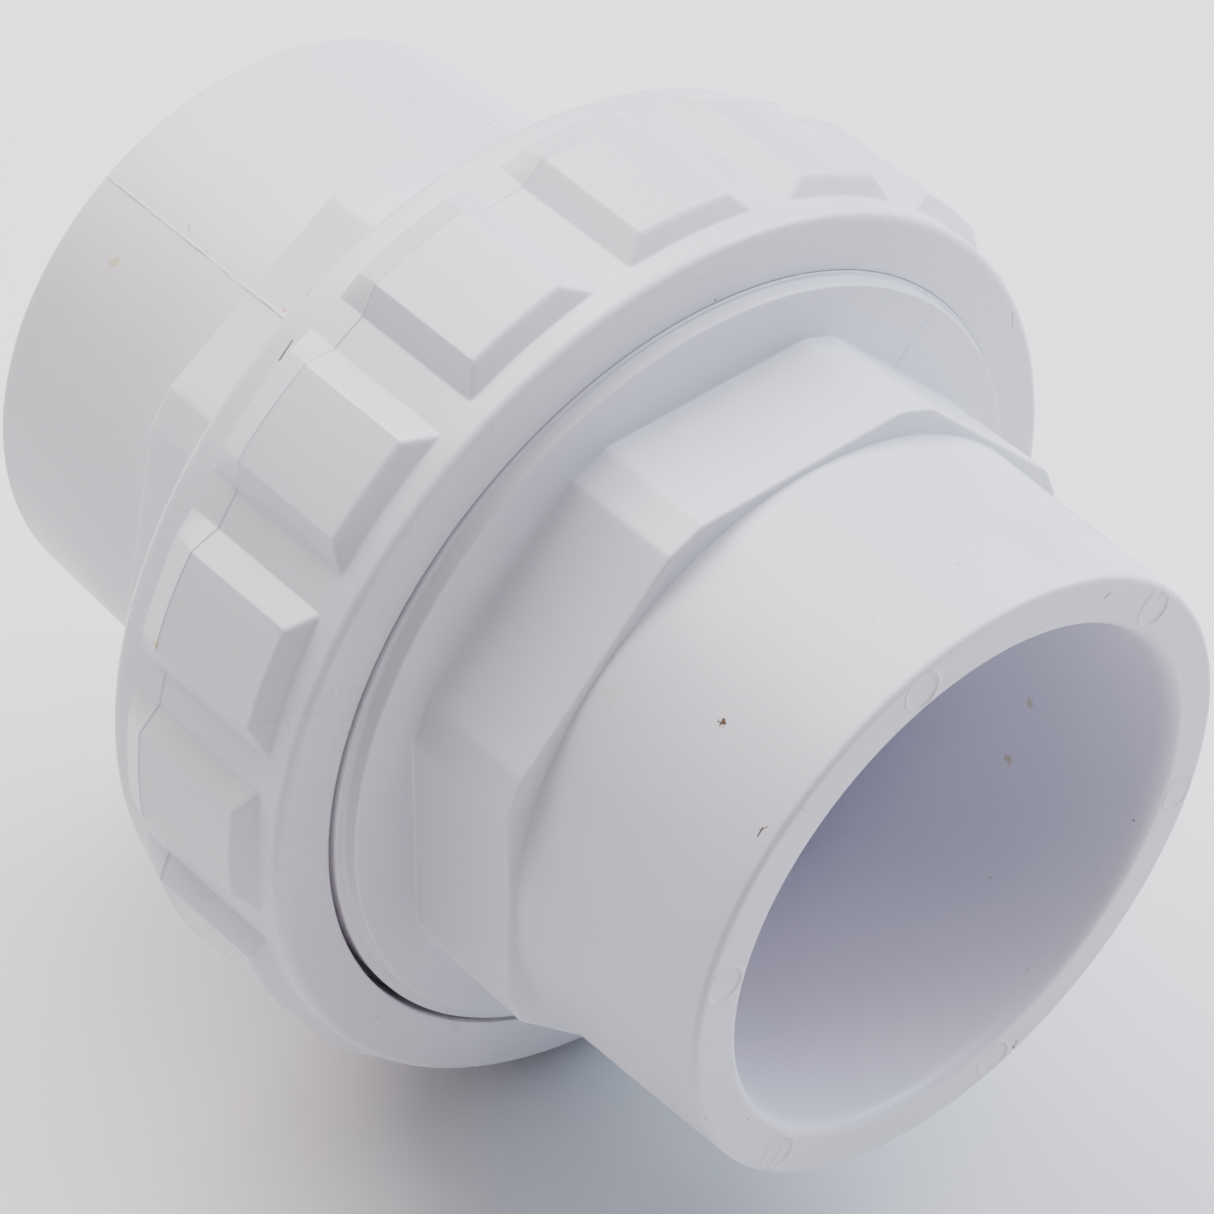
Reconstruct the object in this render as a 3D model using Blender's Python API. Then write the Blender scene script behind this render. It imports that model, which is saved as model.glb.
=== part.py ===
"""Union fitting for 1-1/2 inch solvent-weld pipe, in the rest state: nut run home.

The fitting's axis lies along +X through the origin.  The +X end is the flanged tailpiece that the
nut holds, the -X end is the threaded tailpiece.  +Z is up, the origin is half way along the fitting.
"""
import math

import bmesh
import bpy

MM = 0.001

# Overall length, and where the parts stand along the axis (all in millimetres, from the +X mouth).
LENGTH = 93.4
HALF = LENGTH / 2.0
COLLAR_A_FRONT = 20.9       # front tailpiece: mouth side of the eight-sided collar
COLLAR_A_BACK = 32.7        # front tailpiece: collar meets the shoulder
STEP_FRONT = 34.2           # front tailpiece: shoulder meets the wider step
NUT_FRONT = 34.4            # outer face of the nut's lip
LIP_BACK = 38.6             # inner face of the nut's lip
FLANGE_FRONT = 38.9
FLANGE_BACK = 42.7          # sealing face of the front tailpiece
HEAD_FRONT = 43.0           # sealing face of the rear tailpiece
HEAD_BACK = 55.6            # end of the threaded head
NUT_BACK = 56.5
COLLAR_B_BACK = 71.6        # rear tailpiece: mouth side of the eight-sided collar

# Sockets and waterway: 1-1/2 inch slip size.
SOCKET_R_MOUTH = 24.15
SOCKET_R_DEEP = 24.03
SOCKET_DEPTH = 28.0
MOUTH_ROUND = 0.9
ROUND_MID = 0.3                 # share of its radius by which a rounding's middle stands in
WATERWAY_R = 20.0
SOCKET_OUT_A = (29.0, 29.75)    # outside radius at the mouth and at the collar, front socket
SOCKET_OUT_B = (29.5, 30.0)     # the same for the rear socket
EDGE_BREAK = 0.6

# Eight-sided wrench collars with their corners cut flat.
COLLAR_SIDES = 8
COLLAR_CORNER_R = 32.2
COLLAR_CUT_HALF = 3.4           # degrees each side of a corner
COLLAR_A_PHASE = 21.4
COLLAR_B_PHASE = 9.4
COLLAR_SPLITS = 6               # columns along one flat

# Shoulder, the step behind it that fills the nut's hole, flange and threaded head.
SHOULDER_R = 36.4
SHOULDER_ROUND = 0.4
STEP_R = 37.42
FLANGE_R = 39.2
HEAD_CORE_R = 39.3
GROOVE_IN = 28.0
GROOVE_OUT = 32.4
GROOVE_DEPTH = 2.7

# O-ring, drawn seated and squeezed.
RING_MID_R = 30.2
RING_HALF_WIDE = 1.8
RING_HALF_HIGH = 1.2
RING_SEGMENTS = 56
RING_SECTION = 10

# Nut.
NUT_HOLE_R = 37.76
NUT_BORE_R = 41.3
NUT_RIM_FRONT_R = 43.05         # the rim is drafted, wider towards the rear
NUT_RIM_BACK_R = 43.45
NUT_FRONT_ROUND = 0.8
NUT_BACK_BREAK = 0.5
NUT_BORE_BREAK = 0.6
LUG_COUNT = 16
LUG_PHASE = 18.2
LUG_BASE_HALF = 8.9             # degrees
LUG_TOP_HALF = 5.9
LUG_TOP_FRONT_R = 44.7
LUG_TOP_LINE_R = 45.05
LUG_TOP_BACK_R = 44.2
LUG_BASE_FRONT = 37.1
LUG_TOP_FRONT = 38.4
LUG_LINE = 50.3
LUG_BACK = 53.2
LUG_BACK_SLOPE = 0.15

# Thread: right-handed, trapezoidal ridges.
PITCH = 3.5
MALE_CREST_R = 40.9
MALE_CREST_HALF = 0.42
FEMALE_CREST_R = 39.7
FLANK = 0.36                    # axial growth of a ridge's half width for each unit of depth
FLANK_GAP = 0.32
THREAD_SINK = 0.35
THREAD_MIDDLE = 49.3            # depth at the middle of the tailpiece's thread
THREAD_TURNS = 2.3
THREAD_STEPS = 48


def at(depth):
    """Position along X of a plane that lies this far behind the front mouth."""
    return (HALF - depth) * MM


def material(name, colour, roughness, metallic=0.0):
    mat = bpy.data.materials.new(name)
    mat.use_nodes = True
    shader = mat.node_tree.nodes["Principled BSDF"]
    shader.inputs["Base Color"].default_value = (*colour, 1.0)
    shader.inputs["Roughness"].default_value = roughness
    shader.inputs["Metallic"].default_value = metallic
    return mat


def mesh_object(name, verts, faces, mat):
    mesh = bpy.data.meshes.new(name)
    mesh.from_pydata(verts, [], faces)
    bm = bmesh.new()
    bm.from_mesh(mesh)
    bmesh.ops.remove_doubles(bm, verts=bm.verts, dist=1e-7)
    bmesh.ops.recalc_face_normals(bm, faces=bm.faces)
    if bm.calc_volume(signed=True) < 0.0:
        bmesh.ops.reverse_faces(bm, faces=bm.faces)
    bm.to_mesh(mesh)
    bm.free()
    mesh.materials.append(mat)
    obj = bpy.data.objects.new(name, mesh)
    bpy.context.scene.collection.objects.link(obj)
    return obj


def ring(depth, radius, angles):
    """One closed loop of points; radius is a number or a function of the angle in degrees."""
    points = []
    for angle in angles:
        r = radius(angle) if callable(radius) else radius
        a = math.radians(angle)
        points.append((at(depth), r * MM * math.cos(a), r * MM * math.sin(a)))
    return points


def loft(name, sections, angles, mat):
    """Closed solid from sections (depth, radius) that run right round back to the first one."""
    verts = []
    for depth, radius in sections:
        verts.extend(ring(depth, radius, angles))
    n = len(angles)
    rows = len(sections)

    def reach(i, j):
        return math.hypot(verts[i][1], verts[i][2]) + math.hypot(verts[j][1], verts[j][2])

    faces = []
    for row in range(rows):
        nxt = (row + 1) % rows
        for col in range(n):
            right = (col + 1) % n
            a, b = row * n + col, row * n + right
            c, d = nxt * n + right, nxt * n + col
            gap = reach(a, c) - reach(b, d)
            if abs(gap) < 1e-8:
                faces.append((a, b, c, d))
            elif gap > 0.0:
                faces.extend([(a, b, c), (a, c, d)])
            else:
                faces.extend([(a, b, d), (b, c, d)])
    return mesh_object(name, verts, faces, mat)


def collar_angles(phase):
    step = 360.0 / COLLAR_SIDES
    angles = []
    for k in range(COLLAR_SIDES):
        first = phase + k * step + COLLAR_CUT_HALF
        span = step - 2.0 * COLLAR_CUT_HALF
        angles.extend(first + span * i / COLLAR_SPLITS for i in range(COLLAR_SPLITS + 1))
    return angles


def collar_radius(phase):
    step = 360.0 / COLLAR_SIDES
    flat = COLLAR_CORNER_R * math.cos(math.radians(step / 2.0 - COLLAR_CUT_HALF))

    def radius(angle):
        off = (angle - phase) % step - step / 2.0
        return flat / math.cos(math.radians(off))

    return radius


def ridge(name, middle, turns, root_r, crest_r, crest_half, mat):
    """Solid helical ridge, right-handed about +X, sunk a little into the wall that carries it."""
    inward = crest_r < root_r
    sunk_r = root_r + THREAD_SINK if inward else root_r - THREAD_SINK
    base_half = crest_half + FLANK * abs(crest_r - sunk_r)
    profile = [(-base_half, sunk_r), (-crest_half, crest_r), (crest_half, crest_r),
               (base_half, sunk_r)]
    count = int(round(THREAD_STEPS * turns))
    verts = []
    for i in range(count + 1):
        turn = turns * i / count
        a = 2.0 * math.pi * turn
        centre = at(middle) - PITCH * MM * (turns / 2.0 - turn)
        for offset, r in profile:
            x = centre + offset * MM
            verts.append((x, r * MM * math.cos(a), r * MM * math.sin(a)))
    faces = [(3, 2, 1, 0), tuple(count * 4 + k for k in range(4))]
    for i in range(count):
        for k in range(4):
            n = (k + 1) % 4
            faces.append((i * 4 + k, i * 4 + n, i * 4 + 4 + n, i * 4 + 4 + k))
    return mesh_object(name, verts, faces, mat)


def join_solid(body, tool):
    """Union of the two solids, baked into the body's mesh; the tool object goes away."""
    mod = body.modifiers.new("join", "BOOLEAN")
    mod.operation = "UNION"
    mod.solver = "EXACT"
    mod.object = tool
    bpy.context.view_layer.update()
    graph = bpy.context.evaluated_depsgraph_get()
    mesh = bpy.data.meshes.new_from_object(body.evaluated_get(graph))
    body.modifiers.clear()
    old = body.data
    body.data = mesh
    mesh.name = body.name
    bpy.data.meshes.remove(old)
    bpy.data.objects.remove(tool)
    bm = bmesh.new()
    bm.from_mesh(mesh)
    bmesh.ops.dissolve_degenerate(bm, edges=bm.edges, dist=1e-6)
    bmesh.ops.triangulate(bm, faces=bm.faces)
    bm.to_mesh(mesh)
    bm.free()


def shade(obj, degrees=30.0):
    bpy.context.view_layer.objects.active = obj
    for other in bpy.context.scene.objects:
        other.select_set(other is obj)
    bpy.ops.object.shade_smooth()
    obj.data.set_sharp_from_angle(angle=math.radians(degrees))


def front_tailpiece(mat):
    collar = collar_radius(COLLAR_A_PHASE)
    sections = [
        (0.0, SOCKET_OUT_A[0] - EDGE_BREAK),
        (EDGE_BREAK, SOCKET_OUT_A[0]),
        (COLLAR_A_FRONT, SOCKET_OUT_A[1]),
        (COLLAR_A_FRONT, collar),
        (COLLAR_A_BACK, collar),
        (COLLAR_A_BACK, SHOULDER_R - SHOULDER_ROUND),
        (COLLAR_A_BACK + ROUND_MID * SHOULDER_ROUND, SHOULDER_R - ROUND_MID * SHOULDER_ROUND),
        (COLLAR_A_BACK + SHOULDER_ROUND, SHOULDER_R),
        (STEP_FRONT, SHOULDER_R),
        (STEP_FRONT, STEP_R),
        (FLANGE_FRONT, STEP_R),
        (FLANGE_FRONT, FLANGE_R),
        (FLANGE_BACK, FLANGE_R),
        (FLANGE_BACK, WATERWAY_R),
        (SOCKET_DEPTH, WATERWAY_R),
        (SOCKET_DEPTH, SOCKET_R_DEEP),
        (MOUTH_ROUND, SOCKET_R_MOUTH),
        (ROUND_MID * MOUTH_ROUND, SOCKET_R_MOUTH + ROUND_MID * MOUTH_ROUND),
        (0.0, SOCKET_R_MOUTH + MOUTH_ROUND),
    ]
    return loft("front_tailpiece", sections, collar_angles(COLLAR_A_PHASE), mat)


def rear_tailpiece(mat):
    collar = collar_radius(COLLAR_B_PHASE)
    sections = [
        (HEAD_FRONT, HEAD_CORE_R - EDGE_BREAK),
        (HEAD_FRONT + EDGE_BREAK, HEAD_CORE_R),
        (HEAD_BACK, HEAD_CORE_R),
        (HEAD_BACK, collar),
        (COLLAR_B_BACK, collar),
        (COLLAR_B_BACK, SOCKET_OUT_B[1]),
        (LENGTH - EDGE_BREAK, SOCKET_OUT_B[0]),
        (LENGTH, SOCKET_OUT_B[0] - EDGE_BREAK),
        (LENGTH, SOCKET_R_MOUTH + MOUTH_ROUND),
        (LENGTH - ROUND_MID * MOUTH_ROUND, SOCKET_R_MOUTH + ROUND_MID * MOUTH_ROUND),
        (LENGTH - MOUTH_ROUND, SOCKET_R_MOUTH),
        (LENGTH - SOCKET_DEPTH, SOCKET_R_DEEP),
        (LENGTH - SOCKET_DEPTH, WATERWAY_R),
        (HEAD_FRONT, WATERWAY_R),
        (HEAD_FRONT, GROOVE_IN),
        (HEAD_FRONT + GROOVE_DEPTH, GROOVE_IN),
        (HEAD_FRONT + GROOVE_DEPTH, GROOVE_OUT),
        (HEAD_FRONT, GROOVE_OUT),
    ]
    body = loft("rear_tailpiece", sections, collar_angles(COLLAR_B_PHASE), mat)
    thread = ridge("male_ridge", THREAD_MIDDLE, THREAD_TURNS, HEAD_CORE_R, MALE_CREST_R,
                   MALE_CREST_HALF, mat)
    join_solid(body, thread)
    return body


def o_ring(mat):
    sections = []
    mid = HEAD_FRONT + RING_HALF_HIGH
    for i in range(RING_SECTION):
        a = 2.0 * math.pi * i / RING_SECTION
        sections.append((mid + RING_HALF_HIGH * math.sin(a),
                         RING_MID_R + RING_HALF_WIDE * math.cos(a)))
    angles = [360.0 * i / RING_SEGMENTS for i in range(RING_SEGMENTS)]
    return loft("o_ring", sections, angles, mat)


def rim_radius(depth):
    share = (depth - NUT_FRONT) / (NUT_BACK - NUT_FRONT)
    return NUT_RIM_FRONT_R + (NUT_RIM_BACK_R - NUT_RIM_FRONT_R) * share


def lug_radius(depth, top_r):
    """Outline of the nut's wall at one depth: rim radius, raised to top_r over each lug."""
    step = 360.0 / LUG_COUNT

    def radius(angle):
        off = abs((angle - LUG_PHASE + step / 2.0) % step - step / 2.0)
        return top_r if off < LUG_TOP_HALF + 1e-6 else rim_radius(depth)

    return radius


def union_nut(mat):
    step = 360.0 / LUG_COUNT
    offsets = (-LUG_BASE_HALF, -LUG_TOP_HALF, 0.0, LUG_TOP_HALF, LUG_BASE_HALF)
    angles = [LUG_PHASE + k * step + off for k in range(LUG_COUNT) for off in offsets]
    sections = [
        (NUT_FRONT, NUT_HOLE_R),
        (NUT_FRONT, NUT_RIM_FRONT_R - NUT_FRONT_ROUND),
        (NUT_FRONT + ROUND_MID * NUT_FRONT_ROUND, NUT_RIM_FRONT_R - ROUND_MID * NUT_FRONT_ROUND),
        (NUT_FRONT + NUT_FRONT_ROUND, rim_radius(NUT_FRONT + NUT_FRONT_ROUND)),
        (LUG_BASE_FRONT, rim_radius(LUG_BASE_FRONT)),
        (LUG_TOP_FRONT, lug_radius(LUG_TOP_FRONT, LUG_TOP_FRONT_R)),
        (LUG_LINE, lug_radius(LUG_LINE, LUG_TOP_LINE_R)),
        (LUG_BACK - LUG_BACK_SLOPE, lug_radius(LUG_BACK - LUG_BACK_SLOPE, LUG_TOP_BACK_R)),
        (LUG_BACK, rim_radius(LUG_BACK)),
        (NUT_BACK - NUT_BACK_BREAK, rim_radius(NUT_BACK - NUT_BACK_BREAK)),
        (NUT_BACK, NUT_RIM_BACK_R - NUT_BACK_BREAK),
        (NUT_BACK, NUT_BORE_R + NUT_BORE_BREAK),
        (NUT_BACK - NUT_BORE_BREAK, NUT_BORE_R),
        (LIP_BACK, NUT_BORE_R),
        (LIP_BACK, NUT_HOLE_R),
    ]
    body = loft("union_nut", sections, angles, mat)
    crest_half = PITCH / 2.0 - MALE_CREST_HALF - FLANK_GAP - FLANK * (MALE_CREST_R - FEMALE_CREST_R)
    thread = ridge("female_ridge", THREAD_MIDDLE + PITCH / 2.0, THREAD_TURNS, NUT_BORE_R, FEMALE_CREST_R,
                   crest_half, mat)
    join_solid(body, thread)
    return body


def main():
    for obj in list(bpy.data.objects):
        bpy.data.objects.remove(obj)
    white = (0.80, 0.81, 0.84)
    parts = [
        rear_tailpiece(material("pvc_rear", white, 0.36)),
        o_ring(material("epdm_ring", (0.02, 0.02, 0.022), 0.55)),
        front_tailpiece(material("pvc_front", white, 0.34)),
        union_nut(material("pvc_nut", white, 0.32)),
    ]
    for obj in parts:
        shade(obj)


main()
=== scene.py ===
"""Looks for the union fitting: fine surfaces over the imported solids, materials, light and camera."""

import math

import bpy
import numpy as np
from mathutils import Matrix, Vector


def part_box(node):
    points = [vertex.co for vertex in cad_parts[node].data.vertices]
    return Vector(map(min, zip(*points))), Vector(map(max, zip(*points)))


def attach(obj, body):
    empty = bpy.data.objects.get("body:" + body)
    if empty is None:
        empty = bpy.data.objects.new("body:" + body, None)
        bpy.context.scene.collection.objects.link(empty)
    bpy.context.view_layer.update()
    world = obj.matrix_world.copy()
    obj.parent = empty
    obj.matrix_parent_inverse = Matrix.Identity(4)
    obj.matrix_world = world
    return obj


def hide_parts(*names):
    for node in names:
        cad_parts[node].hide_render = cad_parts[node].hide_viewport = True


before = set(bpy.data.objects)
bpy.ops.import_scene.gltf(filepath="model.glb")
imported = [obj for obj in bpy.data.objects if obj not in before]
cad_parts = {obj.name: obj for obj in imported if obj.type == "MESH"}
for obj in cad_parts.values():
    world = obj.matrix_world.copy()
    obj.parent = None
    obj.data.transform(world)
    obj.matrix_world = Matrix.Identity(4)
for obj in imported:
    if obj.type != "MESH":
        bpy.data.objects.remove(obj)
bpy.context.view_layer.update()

MM = 0.001
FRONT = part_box("front_tailpiece")
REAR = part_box("rear_tailpiece")
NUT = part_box("union_nut")
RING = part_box("o_ring")
MOUTH_X = FRONT[1].x
LENGTH = (MOUTH_X - REAR[0].x) / MM

# Depths along the axis from the front mouth, in millimetres.
COLLAR_A = (20.9, 32.7)     # the front tailpiece's collar
COLLAR_B = (55.6, 71.6)     # the rear tailpiece's collar
FLANGE = (38.9, (MOUTH_X - FRONT[0].x) / MM)
HEAD_FRONT = (MOUTH_X - REAR[1].x) / MM
NUT_ENDS = ((MOUTH_X - NUT[1].x) / MM, (MOUTH_X - NUT[0].x) / MM)
LIP_BACK = 38.6             # back face of the nut's lip, in front of the flange
STEP_FRONT = 34.2           # the wider step behind the shoulder, which fills the nut's hole
STEP_R = 37.42
STEP_FILLET = 0.34          # hollow rounding between the shoulder disc and the step
SHOULDER_R = 36.54
SHOULDER_ROUND = 0.22
SHOULDER_OFF = 0.55         # the shoulder disc sits this far off the axis, towards +Z
SOCKET_DEPTH = 28.0         # from a mouth to its pipe stop

BORE_MOUTH_R = 24.15        # the socket's bore at its mouth, and beside the pipe stop
BORE_STOP_R = 24.03
WATERWAY_R = 20.0
FRONT_SOCKET_R = (29.0, 29.75)      # outside at the mouth and at the collar
REAR_SOCKET_R = (29.5, 30.0)
NUT_HOLE_R = 37.76
NUT_OUTER_R = 43.51
HEAD_ROOT_R = 39.3          # the thread outside the rear tailpiece's head
HEAD_CREST_R = 40.9
NUT_ROOT_R = 41.3           # the thread inside the nut
NUT_CREST_R = 39.7
THREAD_MIDDLE = 49.3        # depth of the middle of the ridge on the head
GROOVE_R = (28.0, 32.4)     # inner and outer wall of the O-ring's groove
GROOVE_DEPTH = 2.7
RING_MID_R = 30.2
RING_HALF_WIDE = 1.75

CAMERA_AZIMUTH = -40.615    # from +X towards +Y
CAMERA_ELEVATION = 43.685
CAMERA_DISTANCE = 0.35      # metres
CAMERA_TARGET = (0.84, 1.46, -3.3)

# Angles run from +Y towards +Z, in degrees.
COLLAR_CORNER_R = 32.2
COLLAR_CUT = 3.4            # half the angle of the flat that cuts each corner
PHASE_A = 21.4              # angle of one corner of the front collar, then of the rear one
PHASE_B = 9.4
PART_LINE_A = 43.9          # mould line along the front tailpiece, then along the rear one
PART_LINE_B = 121.9
PIN_MARKS = (43.4, 104.1, 164.8, 223.4, 282.4, 344.9)
PIN_MARK_R = 26.95

LUGS = 16
LUG_PHASE = 18.2
LUG_LINE = 50.3             # depth of the mould's parting line round the nut
LUG_BASE_HALF = 8.9         # half the angle that a lug fills at its foot, then at its top
LUG_TOP_HALF = 5.9
LUG_MISMATCH = -0.12        # angle by which the rear mould half is turned
NUT_SLACK = 0.31            # how far the loose nut rests off the axis, and towards which angle
NUT_SLACK_ANGLE = 237.0

PITCH = 3.5
FLANK = 0.36                # slope of the thread's sides: depth gained for each mm of height
TURNS = 2.3


# ---------------------------------------------------------------- surfaces

def smooth_min(values, k):
    """Lowest of several arrays with its creases rounded over about k."""
    stack = np.stack(np.broadcast_arrays(*values))
    low = stack.min(axis=0)
    return low - k * np.log(np.exp(-(stack - low) / k).sum(axis=0))


def soft_floor(value, k):
    """max(value, 0) with the crease rounded over about k."""
    return 0.5 * (value + np.sqrt(value * value + k * k))


def bell(value, width):
    """Smooth hump: 1 at 0, dying away over the width."""
    return np.exp(-(value / width) ** 2)


def wrap(angle, period=360.0):
    """Angle brought to within half a period of 0."""
    return (angle + period / 2.0) % period - period / 2.0


def columns(step, dense=(), spread=(0.05, 0.13, 0.3, 0.6), marks=()):
    """Angles round the axis: even steps, closer ones over each pin mark, and a few beside each
    angle in dense."""
    angles = set(np.round(np.arange(0.0, 360.0, step), 4))
    for mark in marks:
        angles = {a for a in angles if abs(wrap(a - mark)) > 4.6}
        angles |= {round((mark + d) % 360.0, 4) for d in np.arange(-4.5, 4.51, 0.3)}
    for centre in dense:
        near = [centre + s * d for d in spread for s in (-1, 1)] + [centre]
        angles = {a for a in angles if min(abs(wrap(a - n)) for n in near) > 0.04}
        angles |= {round(n % 360.0, 4) for n in near}
    return np.array(sorted(angles))


def solid(name, rows, angles, body, material, sharp=40.0, shift=(0.0, 0.0)):
    """Closed smooth mesh from rows of (depth, radius); either may be an array over the angles.
    The shift moves it off the axis, along Y and Z."""
    cols = len(angles)
    depth = np.stack([np.broadcast_to(np.asarray(d, float), cols) for d, _ in rows])
    radius = np.stack([np.broadcast_to(np.asarray(r, float), cols) for _, r in rows])
    a = np.radians(angles)
    points = np.stack([MOUTH_X - depth * MM, (radius * np.cos(a) + shift[0]) * MM,
                       (radius * np.sin(a) + shift[1]) * MM], -1)
    grid = np.arange(len(rows) * cols).reshape(len(rows), cols)
    down = np.roll(grid, -1, axis=0)
    quads = np.stack([grid, np.roll(grid, -1, 1), np.roll(down, -1, 1), down], -1).reshape(-1, 4)
    return mesh_piece(name, points.reshape(-1, 3), quads, body, material, sharp)


def mesh_piece(name, points, quads, body, material, sharp):
    """Mesh object on its body, with its faces turned outwards."""
    p = points[quads]
    volume = np.einsum("ij,ij->i", p[:, 0], np.cross(p[:, 1], p[:, 2])).sum()
    volume += np.einsum("ij,ij->i", p[:, 0], np.cross(p[:, 2], p[:, 3])).sum()
    if volume < 0.0:
        quads = quads[:, ::-1]
    mesh = bpy.data.meshes.new(name)
    mesh.from_pydata(points.tolist(), [], quads.tolist())
    mesh.materials.append(material)
    mesh.polygons.foreach_set("use_smooth", np.ones(len(mesh.polygons), bool))
    mesh.set_sharp_from_angle(angle=math.radians(sharp))
    mesh.update()
    obj = bpy.data.objects.new(name, mesh)
    bpy.context.scene.collection.objects.link(obj)
    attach(obj, body)
    return obj


def collar_radius(angles, phase):
    """Eight flats with their corners cut flat, every edge slightly rounded."""
    flat = COLLAR_CORNER_R * math.cos(math.radians(22.5 - COLLAR_CUT))
    cut = COLLAR_CORNER_R * math.cos(math.radians(COLLAR_CUT))
    off = np.abs(wrap(angles - phase, 45.0))
    to_flat = flat / np.cos(np.radians(22.5 - off))
    to_cut = cut / np.cos(np.radians(off))
    return smooth_min([to_flat, to_cut], 0.07)


def line_bump(angles, at, height=0.06, width=0.20):
    """Raised witness line of the mould halves, on both sides of the axis."""
    here = wrap(angles - at)
    there = wrap(angles - at - 180.0)
    return height * (bell(here, width) + bell(there, width))


def thread(depth, angles, middle, inward, crest, root, crest_half):
    """Radius of a threaded wall: right-handed ridge of TURNS turns about its middle depth."""
    base = middle + PITCH * TURNS / 2.0
    turn = angles / 360.0 + np.round((base - depth) / PITCH - angles / 360.0)
    offset = np.abs(depth - (base - PITCH * turn))
    rise = abs(crest - root)
    height = rise - soft_floor(offset - crest_half, 0.05) / FLANK
    height = soft_floor(np.minimum(height, rise), 0.04)
    fade = np.clip(turn / 0.10, 0.0, 1.0) * np.clip((TURNS - turn) / 0.10, 0.0, 1.0)
    height = np.minimum(height, rise) * fade
    return root - height if inward else root + height


# ---------------------------------------------------------------- materials

def point(place):
    """World point, in metres, of a (depth, angle, distance from the axis) place."""
    depth, angle, radius = place
    a = math.radians(angle)
    return Vector((MOUTH_X - depth * MM, radius * math.cos(a) * MM, radius * math.sin(a) * MM))


class Nodes:
    """Short hand for building one node material."""

    def __init__(self, name):
        self.mat = bpy.data.materials.new(name)
        self.mat.use_nodes = True
        self.tree = self.mat.node_tree
        self.shader = self.tree.nodes["Principled BSDF"]
        coords = self.tree.nodes.new("ShaderNodeTexCoord")
        self.coords = coords.outputs["Object"]

    def add(self, kind, **settings):
        node = self.tree.nodes.new(kind)
        for key, value in settings.items():
            setattr(node, key, value)
        return node

    def link(self, out, into):
        self.tree.links.new(out, into)

    def noise(self, scale, detail=3.0, rough=0.5, stretch=None):
        node = self.add("ShaderNodeTexNoise")
        node.inputs["Scale"].default_value = scale
        node.inputs["Detail"].default_value = detail
        node.inputs["Roughness"].default_value = rough
        source = self.coords
        if stretch:
            mapping = self.add("ShaderNodeMapping")
            mapping.inputs["Scale"].default_value = stretch
            self.link(self.coords, mapping.inputs["Vector"])
            source = mapping.outputs["Vector"]
        self.link(source, node.inputs["Vector"])
        return node.outputs["Fac"]

    def ramp(self, value, low, high, to_low=0.0, to_high=1.0):
        node = self.add("ShaderNodeMapRange")
        node.interpolation_type = "SMOOTHSTEP"
        node.inputs["From Min"].default_value = low
        node.inputs["From Max"].default_value = high
        node.inputs["To Min"].default_value = to_low
        node.inputs["To Max"].default_value = to_high
        self.link(value, node.inputs["Value"])
        return node.outputs["Result"]

    def times(self, a, b):
        node = self.add("ShaderNodeMath", operation="MULTIPLY")
        self.link(a, node.inputs[0])
        if isinstance(b, float):
            node.inputs[1].default_value = b
        else:
            self.link(b, node.inputs[1])
        return node.outputs[0]

    def mix(self, fac, a, b):
        node = self.add("ShaderNodeMix", data_type="RGBA")
        self.link(fac, node.inputs["Factor"])
        for socket, value in ((node.inputs["A"], a), (node.inputs["B"], b)):
            if isinstance(value, tuple):
                socket.default_value = (*value, 1.0)
            else:
                self.link(value, socket)
        return node.outputs["Result"]

    def specks(self, scale, size, keep):
        """Small round spots: few cells of a cell pattern, each a dot at its point."""
        cells = self.add("ShaderNodeTexVoronoi")
        cells.inputs["Scale"].default_value = scale
        self.link(self.coords, cells.inputs["Vector"])
        split = self.add("ShaderNodeSeparateColor")
        self.link(cells.outputs["Color"], split.inputs["Color"])
        chosen = self.ramp(split.outputs["Red"], keep - 0.005, keep + 0.005, 1.0, 0.0)
        dot = self.ramp(cells.outputs["Distance"], size * 0.6, size, 1.0, 0.0)
        return self.times(chosen, dot)

    def spot(self, place, size, rough=0.5):
        """Irregular spot at a place on the surface; size in millimetres."""
        jitter = self.add("ShaderNodeTexNoise")
        jitter.inputs["Scale"].default_value = 1.1 / (size * MM)
        self.link(self.coords, jitter.inputs["Vector"])
        far = self.add("ShaderNodeVectorMath", operation="DISTANCE")
        self.link(self.coords, far.inputs[0])
        far.inputs[1].default_value = point(place)
        sway = self.ramp(jitter.outputs["Fac"], 0.3, 0.7, -rough * size * MM, rough * size * MM)
        total = self.add("ShaderNodeMath", operation="ADD")
        self.link(far.outputs["Value"], total.inputs[0])
        self.link(sway, total.inputs[1])
        return self.ramp(total.outputs[0], size * MM * 0.7, size * MM, 1.0, 0.0)

    def dot(self, place, size):
        """Small round spot at a place on the surface; size in millimetres."""
        far = self.add("ShaderNodeVectorMath", operation="DISTANCE")
        self.link(self.coords, far.inputs[0])
        far.inputs[1].default_value = point(place)
        return self.ramp(far.outputs["Value"], size * MM * 0.5, size * MM, 1.0, 0.0)

    def stroke(self, start, end, width):
        """Thin scratch from one place to another; width in millimetres."""
        begin = point(start)
        along = point(end) - begin
        offset = self.add("ShaderNodeVectorMath", operation="SUBTRACT")
        self.link(self.coords, offset.inputs[0])
        offset.inputs[1].default_value = begin
        share = self.add("ShaderNodeVectorMath", operation="DOT_PRODUCT")
        self.link(offset.outputs[0], share.inputs[0])
        share.inputs[1].default_value = along / along.length_squared
        held = self.add("ShaderNodeClamp")
        self.link(share.outputs["Value"], held.inputs["Value"])
        reach = self.add("ShaderNodeVectorMath", operation="SCALE")
        reach.inputs[0].default_value = along
        self.link(held.outputs[0], reach.inputs["Scale"])
        away = self.add("ShaderNodeVectorMath", operation="DISTANCE")
        self.link(offset.outputs[0], away.inputs[0])
        self.link(reach.outputs[0], away.inputs[1])
        return self.ramp(away.outputs["Value"], width * MM * 0.3, width * MM, 1.0, 0.0)

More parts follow.
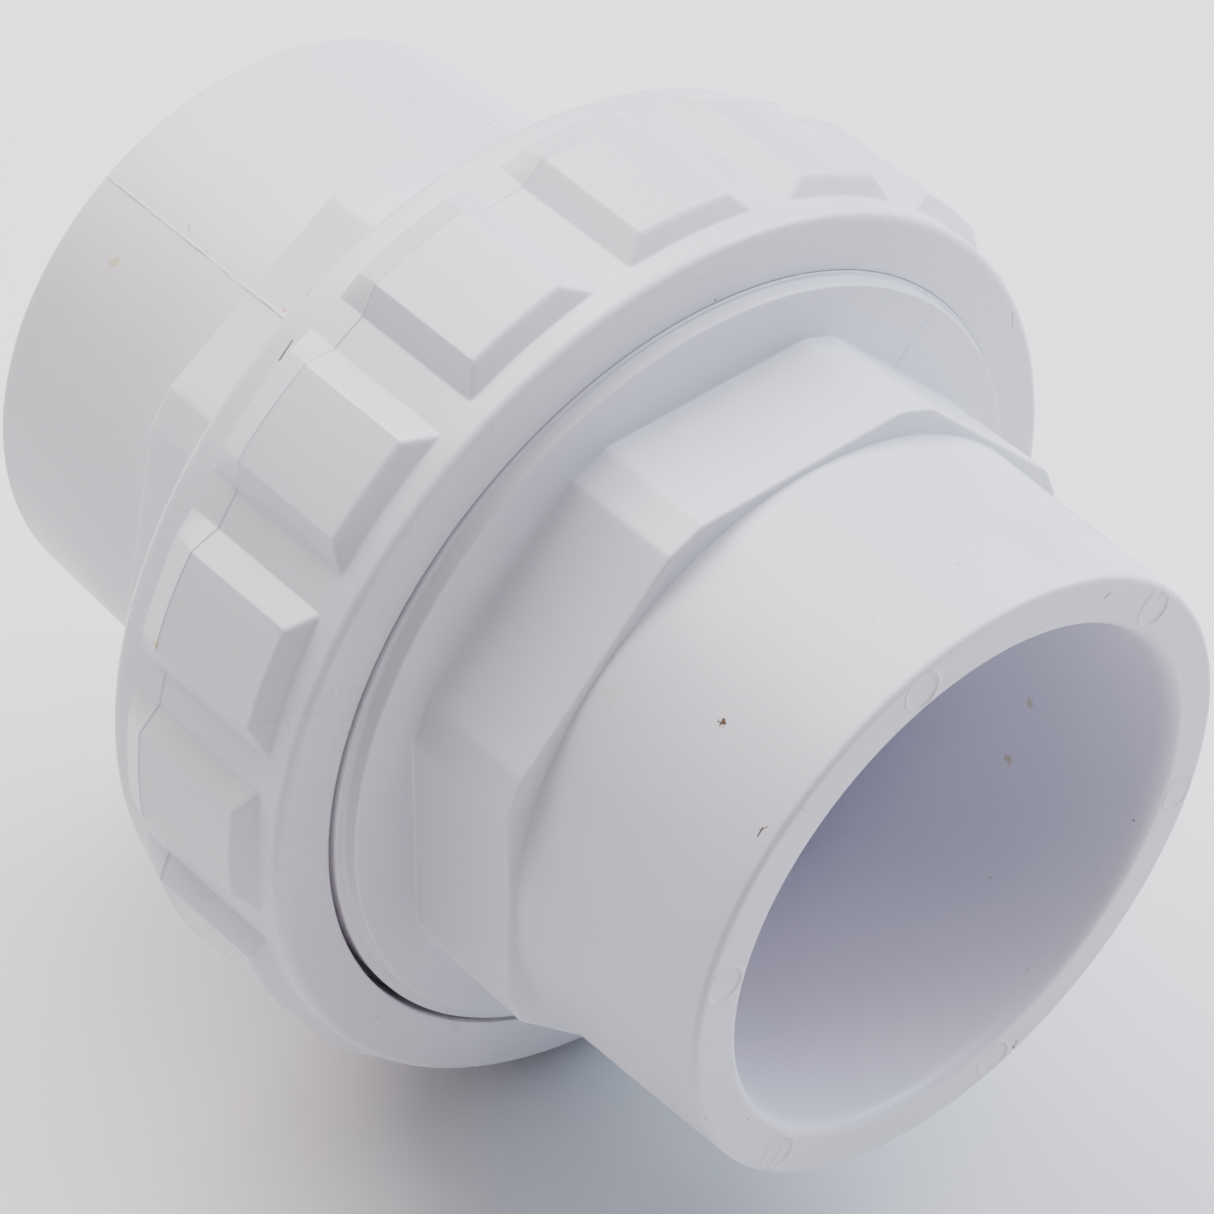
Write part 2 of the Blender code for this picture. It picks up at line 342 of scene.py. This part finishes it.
    def inside(self, radius):
        """1 nearer to the axis than this radius, in millimetres."""
        flat = self.add("ShaderNodeVectorMath", operation="MULTIPLY")
        self.link(self.coords, flat.inputs[0])
        flat.inputs[1].default_value = (0.0, 1.0, 1.0)
        size = self.add("ShaderNodeVectorMath", operation="LENGTH")
        self.link(flat.outputs[0], size.inputs[0])
        return self.ramp(size.outputs["Value"], radius * MM, (radius + 0.5) * MM, 1.0, 0.0)

    def crevice(self, radius, outward, depth):
        """1 in the gap between nut and tailpiece, the mask of the painted shade there: beyond (or
        inside) a radius, behind a depth.
        """
        near = self.inside(radius)
        if outward:
            near = self.ramp(near, 0.0, 1.0, 1.0, 0.0)
        split = self.add("ShaderNodeSeparateXYZ")
        self.link(self.coords, split.inputs[0])
        start = MOUTH_X - depth * MM
        behind = self.ramp(split.outputs["X"], start - 0.4 * MM, start, 1.0, 0.0)
        return self.times(near, behind)

    def seam(self, angle, width):
        """Broken line along the axis at this angle and at the one opposite it, width in mm."""
        split = self.add("ShaderNodeSeparateXYZ")
        self.link(self.coords, split.inputs[0])
        a = math.radians(angle)
        across = self.times(split.outputs["Y"], -math.sin(a))
        other = self.times(split.outputs["Z"], math.cos(a))
        total = self.add("ShaderNodeMath", operation="ADD")
        self.link(across, total.inputs[0])
        self.link(other, total.inputs[1])
        sway = self.ramp(self.noise(160.0, 3.0), 0.3, 0.7, -0.00012, 0.00012)
        moved = self.add("ShaderNodeMath", operation="ADD")
        self.link(total.outputs[0], moved.inputs[0])
        self.link(sway, moved.inputs[1])
        size = self.add("ShaderNodeMath", operation="ABSOLUTE")
        self.link(moved.outputs[0], size.inputs[0])
        line = self.ramp(size.outputs[0], 0.0, width * MM, 1.0, 0.0)
        broken = self.ramp(self.noise(420.0, 4.0, 0.65), 0.36, 0.62)
        return self.times(line, broken)

    def bump(self, height, strength, distance, normal=None):
        node = self.add("ShaderNodeBump")
        node.inputs["Strength"].default_value = strength
        node.inputs["Distance"].default_value = distance
        self.link(height, node.inputs["Height"])
        if normal is not None:
            self.link(normal, node.inputs["Normal"])
        return node.outputs["Normal"]


def pvc(name, tint, rough, speck_keep, spots=(), dots=(), strokes=(), seam=None, bore=None,
        dust_and_gap_shade=None):
    """Moulded white plastic.  Spots and dots are (place, size, colour) marks, strokes are
    (start, end, width, colour); seam is the mould line's angle, bore the radius inside which the
    colour is tinted slightly darker and bluer as painted shade, and the last argument the (radius,
    outward, depth) of the gap between nut and tailpiece, which is darkened as painted shade."""
    n = Nodes(name)
    pale = tuple(min(1.0, c * 1.03) for c in tint)
    shade = (tint[0] * 0.945, tint[1] * 0.94, tint[2] * 0.945)
    clouds = n.ramp(n.noise(38.0, 4.0, 0.55), 0.35, 0.65)
    colour = n.mix(clouds, tint, pale)
    flow = n.ramp(n.noise(60.0, 5.0, 0.6, (0.35, 1.0, 1.0)), 0.52, 0.74, 0.0, 0.55)
    colour = n.mix(flow, colour, shade)
    stain = n.ramp(n.noise(130.0, 3.0, 0.6), 0.70, 0.80, 0.0, 0.30)
    colour = n.mix(stain, colour, (tint[0] * 0.86, tint[1] * 0.83, tint[2] * 0.74))
    # Painted shade: inside the bore radius the colour is made slightly darker and bluer, standing in
    # for the bluish shade deep in the bore.
    if bore is not None:
        colour = n.mix(n.inside(bore), colour, (tint[0] * 0.99, tint[1] * 0.97, tint[2] * 1.02))
    grey = n.specks(420.0, 0.10, speck_keep)
    colour = n.mix(grey, colour, (0.42, 0.40, 0.38))
    brown = n.specks(130.0, 0.075, speck_keep * 0.8)
    colour = n.mix(brown, colour, (0.10, 0.065, 0.035))
    # Painted shade: the gap between nut and tailpiece is darkened to a purplish grey where shade falls
    # in it.
    if dust_and_gap_shade is not None:
        colour = n.mix(n.crevice(*dust_and_gap_shade), colour, (0.52, 0.48, 0.52))
    for place, size, paint in spots:
        colour = n.mix(n.spot(place, size), colour, paint)
    for place, size, paint in dots:
        colour = n.mix(n.dot(place, size), colour, paint)
    for begin, end, width, paint in strokes:
        colour = n.mix(n.stroke(begin, end, width), colour, paint)
    if seam is not None:
        outside = n.ramp(n.inside(26.0), 0.0, 1.0, 1.0, 0.0)
        line = n.times(n.seam(seam, 0.22), outside)
        colour = n.mix(n.times(line, 0.35), colour, (0.36, 0.33, 0.32))
    n.link(colour, n.shader.inputs["Base Color"])
    gloss = n.ramp(n.noise(90.0, 4.0, 0.6), 0.3, 0.7, rough - 0.05, rough + 0.07)
    n.link(gloss, n.shader.inputs["Roughness"])
    n.shader.inputs["IOR"].default_value = 1.53
    grain = n.bump(n.noise(2600.0, 2.0, 0.5), 0.10, 0.00005)
    wave = n.bump(n.noise(70.0, 2.0, 0.5), 0.25, 0.00012, grain)
    scuff = n.ramp(n.noise(900.0, 3.0, 0.6, (0.12, 1.0, 1.0)), 0.66, 0.74)
    marks = n.bump(scuff, 0.18, 0.00003, wave)
    if seam is not None:
        marks = n.bump(line, 0.6, 0.00010, marks)
    n.link(marks, n.shader.inputs["Normal"])
    return n.mat


def rubber(name):
    """Black rubber with a little dust."""
    n = Nodes(name)
    dust_and_gap_shade = n.ramp(n.noise(700.0, 4.0, 0.6), 0.45, 0.75)
    n.link(n.mix(dust_and_gap_shade, (0.014, 0.014, 0.015), (0.035, 0.035, 0.037)),
           n.shader.inputs["Base Color"])
    n.link(n.ramp(n.noise(300.0), 0.3, 0.7, 0.42, 0.62), n.shader.inputs["Roughness"])
    n.link(n.bump(n.noise(3000.0, 3.0), 0.25, 0.00005), n.shader.inputs["Normal"])
    return n.mat


def floor_material():
    """Matt pale paper."""
    n = Nodes("floor_paper")
    fade = n.ramp(n.noise(6.0, 3.0), 0.3, 0.7)
    n.link(n.mix(fade, (0.86, 0.86, 0.86), (0.88, 0.88, 0.88)), n.shader.inputs["Base Color"])
    n.shader.inputs["Roughness"].default_value = 0.9
    n.link(n.bump(n.noise(900.0, 4.0), 0.1, 0.0001), n.shader.inputs["Normal"])
    return n.mat


# ---------------------------------------------------------------- pieces

def pin_marks(angles, radius, depth=0.06, size=1.7):
    """Depth of the round ejector-pin marks in a socket's end face, at one radius."""
    sunk = np.zeros_like(angles)
    for mark in PIN_MARKS:
        a = np.radians(angles - mark)
        far = np.sqrt(radius ** 2 + PIN_MARK_R ** 2 - 2 * radius * PIN_MARK_R * np.cos(a))
        edge = np.clip((size - far) / 0.12, 0.0, 1.0)
        sunk += depth * edge * edge * (3.0 - 2.0 * edge) - 0.10 * bell(far - size, 0.15)
    return sunk


def socket_mouth(angles, sign, end, outer):
    """Rows over a socket's end face with its pin marks, from the bore out to the outside edge."""
    inner_r, inner_round, lead, outer_round = BORE_MOUTH_R, 1.0, 1.7, 0.6
    rows = [(end + sign * lead * (1 - math.sin(math.radians(t))),
             inner_r + inner_round * (1 - math.cos(math.radians(t))))
            for t in (0, 10, 20, 30, 40, 50, 60, 70, 80, 90)]
    low, high = inner_r + inner_round, outer - outer_round
    for i in range(1, 27):
        r = low + (high - low) * i / 27.0
        rows.append((end + sign * pin_marks(angles, r), r))
    rows += [(end + sign * outer_round * (1 - math.cos(math.radians(t))),
              high + outer_round * math.sin(math.radians(t)))
             for t in (0, 15, 30, 45, 60, 75, 90)]
    return rows


def front_tailpiece(material):
    """Socket, collar, shoulder disc, wider step, flange, waterway and pipe stop, in that order."""
    dense = [PART_LINE_A, PART_LINE_A + 180.0]
    corners = [PHASE_A + k * 45.0 + s * COLLAR_CUT for k in range(8) for s in (-1, 1)]
    angles = columns(1.2, dense + corners, (0.1, 0.25, 0.5), PIN_MARKS)
    oct_r = collar_radius(angles, PHASE_A)
    line = line_bump(angles, PART_LINE_A)
    mouth_r, root = FRONT_SOCKET_R
    rows = socket_mouth(angles, 1.0, 0.0, mouth_r)
    rows += [(0.6 + (20.65 - 0.6) * i / 12.0, mouth_r + (root - mouth_r) * i / 12.0 + line)
             for i in range(1, 13)]
    rows += [(20.82 + 0.08 * math.sin(t), root + 0.08 - 0.08 * math.cos(t) + line)
             for t in np.radians((0, 30, 60, 90))]
    edge = 0.3
    rows += [(20.9, root + 0.08 + (oct_r - edge - root - 0.08) * f) for f in (0.1, 0.9)]
    rows += [(20.9 + edge - edge * math.cos(t), oct_r - edge + edge * math.sin(t))
             for t in np.radians((0, 22, 45, 67, 90))]
    rows += [(d, oct_r + line) for d in (22.0, 25.0, 28.0, 31.0)]
    fil = 0.22
    back = COLLAR_A[1]
    rows += [(back - fil + fil * math.sin(t), oct_r + fil - fil * math.cos(t) + line)
             for t in np.radians((0, 18, 36, 54, 72, 90))]
    start = oct_r + fil
    edge_r = SHOULDER_R + SHOULDER_OFF * np.sin(np.radians(angles))
    flat = edge_r - SHOULDER_ROUND
    rows += [(back - line * 0.5, start + (flat - start) * f) for f in (0.06, 0.3, 0.6, 0.985)]
    rows += [(back + SHOULDER_ROUND * (1 - math.cos(t)), flat + SHOULDER_ROUND * math.sin(t))
             for t in np.radians((0, 18, 36, 54, 72, 90))]
    hollow = np.minimum(STEP_FILLET, 0.8 * (STEP_R - edge_r))
    rows += [(STEP_FRONT - hollow * (1 - math.sin(t)), edge_r + hollow * (1 - math.cos(t)))
             for t in np.radians((0, 18, 36, 54, 72, 90))]
    rows += [(STEP_FRONT, STEP_R - 0.05), (STEP_FRONT + 0.02, STEP_R - 0.02)]
    rows += [(STEP_FRONT + 0.05, STEP_R)]
    rows += [(FLANGE[0] - 0.3, STEP_R), (FLANGE[0] - 0.1, STEP_R + 0.1), (FLANGE[0], STEP_R + 0.3)]
    rows += [(FLANGE[0], 38.9), (FLANGE[0] + 0.1, 39.1), (FLANGE[0] + 0.3, 39.2)]
    rows += [(FLANGE[1] - 0.3, 39.2), (FLANGE[1] - 0.1, 39.1), (FLANGE[1], 38.9)]
    rows += [(FLANGE[1], 34.0), (FLANGE[1], 28.0), (FLANGE[1], 20.4), (FLANGE[1] - 0.1, 20.1)]
    rows += [(d, WATERWAY_R) for d in (FLANGE[1] - 0.4, 36.0, SOCKET_DEPTH + 0.4)]
    rows += [(SOCKET_DEPTH + 0.1, 20.1), (SOCKET_DEPTH, 20.4), (SOCKET_DEPTH, 23.7)]
    rows += [(SOCKET_DEPTH - 0.1, 23.95), (SOCKET_DEPTH - 0.35, BORE_STOP_R)]
    rows += [(SOCKET_DEPTH - 26.2 * f, BORE_STOP_R + (BORE_MOUTH_R - BORE_STOP_R) * f)
             for f in (0.1, 0.25, 0.4, 0.55, 0.7, 0.85, 0.97)]
    obj = solid("front_tailpiece_fine", rows, angles, "front_half", material)
    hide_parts("front_tailpiece")
    return obj


def rear_tailpiece(material):
    """Sealing face with the groove, threaded head, collar, socket, bore and waterway."""
    dense = [PART_LINE_B, PART_LINE_B + 180.0]
    corners = [PHASE_B + k * 45.0 + s * COLLAR_CUT for k in range(8) for s in (-1, 1)]
    angles = columns(1.2, dense + corners, (0.1, 0.25, 0.5), PIN_MARKS)
    oct_r = collar_radius(angles, PHASE_B)
    line = line_bump(angles, PART_LINE_B, 0.045)
    front = HEAD_FRONT
    inner, outer = GROOVE_R
    low_side, bottom = front + GROOVE_DEPTH - 0.2, front + GROOVE_DEPTH
    rows = [(front, r) for r in (20.4, 24.0, inner - 0.2)]
    rows += [(front + 0.05, inner), (low_side, inner + 0.05), (bottom, inner + 0.3)]
    rows += [(bottom, outer - 0.3), (low_side, outer - 0.05), (front + 0.05, outer)]
    rows += [(front, outer + 0.2), (front, 36.0), (front, 38.6)]
    rows += [(front + 0.2, 39.1), (front + 0.6, HEAD_ROOT_R)]
    depth = front + 0.8
    while depth < 55.2:
        ridge = thread(depth, angles, THREAD_MIDDLE, False, HEAD_CREST_R, HEAD_ROOT_R, 0.42)
        rows.append((depth, ridge))
        depth += 0.2
    rows += [(55.3, HEAD_ROOT_R), (55.5, HEAD_ROOT_R - 0.1), (COLLAR_B[0], HEAD_ROOT_R - 0.3)]
    rows += [(COLLAR_B[0], oct_r + 0.9), (COLLAR_B[0] + 0.1, oct_r + 0.4)]
    rows += [(COLLAR_B[0] + 0.5, oct_r + line)]
    rows += [(d, oct_r + line) for d in (58.0, 62.0, 66.0, 70.0)]
    edge = 0.35
    back = COLLAR_B[1]
    rows += [(back - edge + edge * math.sin(t), oct_r - edge + edge * math.cos(t))
             for t in np.radians((0, 22, 45, 67, 90))]
    mouth_r, root = REAR_SOCKET_R
    low = root + 0.05
    rows += [(back + 0.02, low + (oct_r - edge - low) * f) for f in (0.6, 0.2)]
    rows += [(back + 0.12, root + 0.03 + line), (back + 0.4, root + line)]
    end = LENGTH
    for i in range(48):
        uneven = 0.45 + 0.55 * math.sin(1.9 * i) * math.sin(0.7 * i + 1.0)
        rows.append((72.4 + (end - 0.6 - 72.4) * i / 48.0,
                     root + (mouth_r - root) * i / 48.0 + line * uneven))
    rows += socket_mouth(angles, -1.0, end, mouth_r)[::-1]
    stop = end - SOCKET_DEPTH
    rows += [(end - 1.75 - 25.9 * f, BORE_MOUTH_R + (BORE_STOP_R - BORE_MOUTH_R) * f)
             for f in (0.04, 0.2, 0.4, 0.6, 0.8, 1.0)]
    rows += [(stop + 0.1, 23.95), (stop, 23.7), (stop, 20.4), (stop - 0.1, 20.1)]
    rows += [(d, WATERWAY_R) for d in (stop - 0.4, 54.0, front + 0.4)]
    rows += [(front + 0.1, 20.1)]
    obj = solid("rear_tailpiece_fine", rows, angles, "rear_half", material)
    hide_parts("rear_tailpiece")
    return obj


def o_ring(material):
    """Pressed ring with a thin flash line at its inner and outer edge."""
    angles = columns(2.0)
    mid = (RING[0].x + RING[1].x) / 2.0
    half = (RING[1].x - RING[0].x) / 2.0 / MM
    centre = (MOUTH_X - mid) / MM
    rows = []
    for i in range(40):
        a = 2.0 * math.pi * i / 40.0
        flash = 0.05 * (bell(wrap(math.degrees(a)), 7.0) + bell(wrap(math.degrees(a) - 180.0), 7.0))
        rows.append((centre + half * math.sin(a),
                     RING_MID_R + (RING_HALF_WIDE + flash) * math.cos(a)))
    obj = solid("o_ring_fine", rows, angles, "rear_half", material)
    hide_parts("o_ring")
    return obj


def nut_outside(depth, angles):
    """Radius of the nut's outside at one depth: drafted rim, lugs, and the mould's parting line."""
    rear_half = 1.0 / (1.0 + math.exp(-(depth - LUG_LINE) / 0.04))
    rim = 43.05 + 0.40 * (depth - 35.2) / 20.8 + 0.08 * rear_half
    off = np.abs(wrap(angles - LUG_PHASE - LUG_MISMATCH * rear_half, 360.0 / LUGS))
    top_front = 44.7 + (45.05 - 44.7) * (depth - 38.4) / (LUG_LINE - 38.4)
    top_rear = 45.11 - 0.85 * (depth - LUG_LINE) / 2.9
    top = top_front + (top_rear - top_front) * rear_half
    full = np.ones_like(angles)
    ramp_side = (LUG_BASE_HALF - off) / (LUG_BASE_HALF - LUG_TOP_HALF)
    ramp_back = (53.3 - depth) / 0.30
    block = smooth_min([ramp_side, ramp_back * full, full], 0.022)
    share = smooth_min([block, (depth - 37.1) / 1.3 * full], 0.11)
    share = np.clip(soft_floor(share + 0.02, 0.03) - 0.004, 0.0, 1.0)
    ripple = 0.6 + 0.4 * np.sin(np.radians(angles) * 7.0) * np.sin(np.radians(angles) * 19.0)
    return rim + (top - rim) * share + 0.045 * ripple * bell(depth - LUG_LINE, 0.07)


def lug_columns():
    """Angles for the nut, closest at the edges of the lugs' sides."""
    near = (-0.45, -0.2, -0.08, 0.0, 0.08, 0.2, 0.45)
    half = set(np.arange(0.0, 5.0, 0.8))
    half |= {LUG_TOP_HALF + d for d in near}
    half |= set(np.arange(LUG_TOP_HALF + 0.75, LUG_BASE_HALF - 0.5, 0.3))
    half |= {LUG_BASE_HALF + d for d in near}
    half |= {9.7, 10.4, 11.25}
    offsets = sorted(half | {-h for h in half if 0.0 < h < 11.0})
    return np.array(sorted((LUG_PHASE + k * 360.0 / LUGS + off) % 360.0
                           for k in range(LUGS) for off in offsets))


def nut_piece(material):
    """Front face, lugs, rear rim, thread, the lip's back face and the hole."""
    angles = lug_columns()
    front, back = NUT_ENDS
    mark = 76.6     # angle of a small raised ring on the front face
    rows = [(front + 0.15 * (1 - math.sin(t)), NUT_HOLE_R + 0.15 * (1 - math.cos(t)))
            for t in np.radians((0, 30, 60, 90))]
    for r in (38.2, 38.6, 38.9, 39.2, 39.5, 39.8, 40.1, 41.0, 41.9):
        far = np.hypot((angles - mark) * math.radians(1.0) * r, r - 39.3)
        rows.append((front + 0.05 * bell(far - 0.55, 0.22), r))
    rows += [(front + 0.85 - 0.85 * math.cos(t), 42.2 + 0.85 * math.sin(t))
             for t in np.radians((0, 15, 30, 45, 60, 75, 90))]
    stops = [36.0, 36.5, 36.8]
    stops += list(np.arange(36.92, 39.3, 0.1))
    stops += list(np.arange(39.5, 50.0, 1.0))
    stops += [LUG_LINE + d for d in (-0.4, -0.22, -0.14, -0.09, -0.05, 0.0)]
    stops += [LUG_LINE + d for d in (0.05, 0.09, 0.14, 0.22, 0.4)]
    stops += [51.1, 51.7, 52.2, 52.5, 52.7, 52.8, 52.88, 52.96, 53.04, 53.12, 53.2, 53.28, 53.36]
    stops += [53.45, 53.6, 53.8, 54.4, 55.1]
    turn = np.radians(angles)
    drift = 0.09 * np.sin(7.0 * turn) + 0.06 * np.sin(19.0 * turn + 1.0)
    rows += [(d + drift * bell(d - LUG_LINE, 1.2), nut_outside(d, angles)) for d in stops]
    rows += [(back - 0.9 + 0.9 * math.sin(t), NUT_OUTER_R - 0.9 + 0.9 * math.cos(t))
             for t in np.radians((0, 15, 30, 45, 60, 75, 90))]
    rows += [(back, 42.3), (back, 42.0), (back - 0.06, 41.85), (back - 0.5, 41.4)]
    crest_half = PITCH / 2.0 - 0.42 - 0.32 - FLANK * 1.2
    depth = back - 0.7
    while depth > LIP_BACK + 0.5:
        if depth > 45.0:
            rows.append((depth, thread(depth, angles, THREAD_MIDDLE + PITCH / 2.0, True,
                                       NUT_CREST_R, NUT_ROOT_R, crest_half)))
            depth -= 0.25
        else:
            rows.append((depth, NUT_ROOT_R))
            depth -= 1.5
    rows += [(LIP_BACK + 0.3, NUT_ROOT_R), (LIP_BACK + 0.08, 41.2), (LIP_BACK, 41.0),
             (LIP_BACK, 38.2),
             (LIP_BACK - 0.1, 37.9), (LIP_BACK - 0.4, NUT_HOLE_R), (36.5, NUT_HOLE_R)]
    lean = math.radians(NUT_SLACK_ANGLE)
    shift = (NUT_SLACK * math.cos(lean), NUT_SLACK * math.sin(lean))
    obj = solid("union_nut_fine", rows, angles, "nut", material, shift=shift)
    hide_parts("union_nut")
    return obj


# ---------------------------------------------------------------- stage

def direction(azimuth, elevation):
    """Unit vector; azimuth runs from +X towards +Y, both in degrees."""
    a, e = math.radians(azimuth), math.radians(elevation)
    return Vector((math.cos(a) * math.cos(e), math.sin(a) * math.cos(e), math.sin(e)))


def softbox(name, azimuth, elevation, size, power, colour):
    """Round soft light one metre from the origin, facing it."""
    data = bpy.data.lights.new(name, "AREA")
    data.shape = "DISK"
    data.size = size
    data.energy = power
    data.color = colour
    away = direction(azimuth, elevation)
    obj = bpy.data.objects.new(name, data)
    obj.location = away
    obj.rotation_euler = (-away).to_track_quat("-Z", "Y").to_euler()
    bpy.context.scene.collection.objects.link(obj)


def stage():
    """Floor under the lowest lug, world and six soft lights."""
    floor_z = NUT[0].z - NUT_SLACK * MM
    half = 3.0
    mesh = bpy.data.meshes.new("floor")
    mesh.from_pydata([(-half, -half, floor_z), (half, -half, floor_z), (half, half, floor_z),
                      (-half, half, floor_z)], [], [(0, 1, 2, 3)])
    mesh.materials.append(floor_material())
    floor = bpy.data.objects.new("floor", mesh)
    bpy.context.scene.collection.objects.link(floor)
    world = bpy.data.worlds.new("studio")
    world.use_nodes = True
    background = world.node_tree.nodes["Background"]
    background.inputs["Color"].default_value = (0.95, 0.95, 0.97, 1.0)
    background.inputs["Strength"].default_value = 0.01
    bpy.context.scene.world = world
    softbox("rear_left", 181.0, 58.0, 0.9, 15.4, (1.0, 0.885, 0.885))
    softbox("back", 118.0, 56.0, 0.9, 6.3, (0.84, 0.89, 0.96))
    softbox("right_back", 64.0, 54.0, 0.9, 8.0, (0.98, 0.90, 0.95))
    softbox("low_back", 84.0, 27.0, 0.8, 11.0, (0.60, 0.76, 0.96))
    softbox("low_left", 198.0, 25.0, 0.7, 2.6, (0.96, 0.87, 0.93))
    softbox("top", 0.0, 88.0, 0.9, 2.8, (0.95, 0.93, 0.96))


def camera():
    """Camera at the photograph's angle, level, aimed close to the fitting's middle."""
    data = bpy.data.cameras.new("camera")
    data.sensor_width = 36.0
    data.lens = 118.34
    data.clip_start = 0.01
    data.clip_end = 20.0
    away = direction(CAMERA_AZIMUTH, CAMERA_ELEVATION)
    obj = bpy.data.objects.new("camera", data)
    obj.location = Vector(CAMERA_TARGET) * MM + away * CAMERA_DISTANCE
    obj.rotation_euler = (-away).to_track_quat("-Z", "Y").to_euler()
    bpy.context.scene.collection.objects.link(obj)
    bpy.context.scene.camera = obj


# Marks on the plastic.  Spots and dots are (place, size, colour), strokes are (start, end, width,
# colour).  A place is (depth, angle, distance from the axis), in millimetres and degrees.
BROWN = (0.10, 0.065, 0.03)
DARK_BROWN = (0.22, 0.15, 0.05)
GREY = (0.38, 0.36, 0.36)
DARK = (0.10, 0.095, 0.10)
FAINT = (0.52, 0.49, 0.47)
STAIN = (0.62, 0.56, 0.42)
FRONT_SPOTS = (((9.6, 128.1, 29.35), 0.36, BROWN),
               ((0.3, 287.5, 27.9), 0.45, DARK_BROWN),
               ((14.9, 331.4, 24.1), 0.50, (0.55, 0.50, 0.40)),
               ((15.2, 345.4, 24.1), 0.45, (0.55, 0.52, 0.45)))
FRONT_DOTS = (((30.2, 120.4, 31.2), 0.13, GREY),
              ((32.7, 89.1, 33.75), 0.11, GREY),
              ((0.0, 28.2, 26.6), 0.16, GREY),
              ((0.0, 195.5, 28.7), 0.17, GREY),
              ((0.0, 206.4, 25.7), 0.16, GREY),
              ((1.4, 337.7, 24.1), 0.16, DARK),
              ((10.5, 308.8, 24.1), 0.20, FAINT),
              ((2.2, 298.8, 24.1), 0.16, FAINT))
FRONT_STROKES = (((11.9, 121.6, 29.3), (10.6, 123.8, 29.3), 0.09, FAINT),
                 ((1.6, 136.7, 29.05), (1.6, 138.1, 29.05), 0.12, DARK),
                 ((1.3, 136.0, 29.05), (1.7, 137.2, 29.05), 0.07, BROWN),
                 ((0.0, 60.5, 27.0), (0.0, 59.4, 27.55), 0.11, DARK),
                 ((0.0, 130.6, 29.05), (0.0, 131.0, 27.8), 0.09, FAINT))
REAR_SPOTS = (((86.3, 132.2, 29.7), 0.5, (0.66, 0.60, 0.42)),
              ((67.3, 120.9, 30.5), 0.3, (0.72, 0.42, 0.44)))
REAR_DOTS = (((84.2, 153.9, 29.8), 0.16, GREY),
             ((85.4, 123.7, 29.8), 0.18, FAINT))
REAR_STROKES = (((82.0, 119.8, 29.8), (81.6, 120.4, 29.8), 0.13, GREY),
                ((78.6, 121.3, 29.85), (78.0, 121.6, 29.8), 0.10, GREY))
NUT_SPOTS = (((50.5, 158.7, 44.85), 0.55, STAIN),)
NUT_DOTS = (((34.4, 88.5, 40.75), 0.15, GREY),
            ((34.4, 85.6, 37.85), 0.16, DARK),
            ((34.4, 55.8, 39.3), 0.15, FAINT))
NUT_STROKES = (((54.0, 124.1, 43.4), (53.8, 126.5, 43.4), 0.14, DARK),
               ((56.2, 117.7, 43.25), (56.0, 119.4, 43.25), 0.12, GREY),
               ((34.4, 25.0, 41.9), (34.4, 22.5, 41.35), 0.09, GREY))
# 24.3 is the radius of the bore's painted bluish shade; the last tuple puts painted shade on the
# step's wall inside the nut's hole.
front_tailpiece(pvc("pvc_front_look", (0.722, 0.735, 0.80), 0.33, 0.012, FRONT_SPOTS, FRONT_DOTS,
                    FRONT_STROKES, PART_LINE_A, 24.3, (36.9, True, STEP_FRONT + 0.12)))
rear_tailpiece(pvc("pvc_rear_look", (0.735, 0.735, 0.79), 0.36, 0.015, REAR_SPOTS, REAR_DOTS,
                   REAR_STROKES, PART_LINE_B))
o_ring(rubber("epdm_look"))
# The last tuple puts painted shade on the wall of the nut's hole, in the gap round the tailpiece.
nut_piece(pvc("pvc_nut_look", (0.73, 0.733, 0.792), 0.30, 0.010, NUT_SPOTS, NUT_DOTS, NUT_STROKES,
              dust_and_gap_shade=(38.1, False, NUT_ENDS[0] + 0.4)))
stage()
camera()
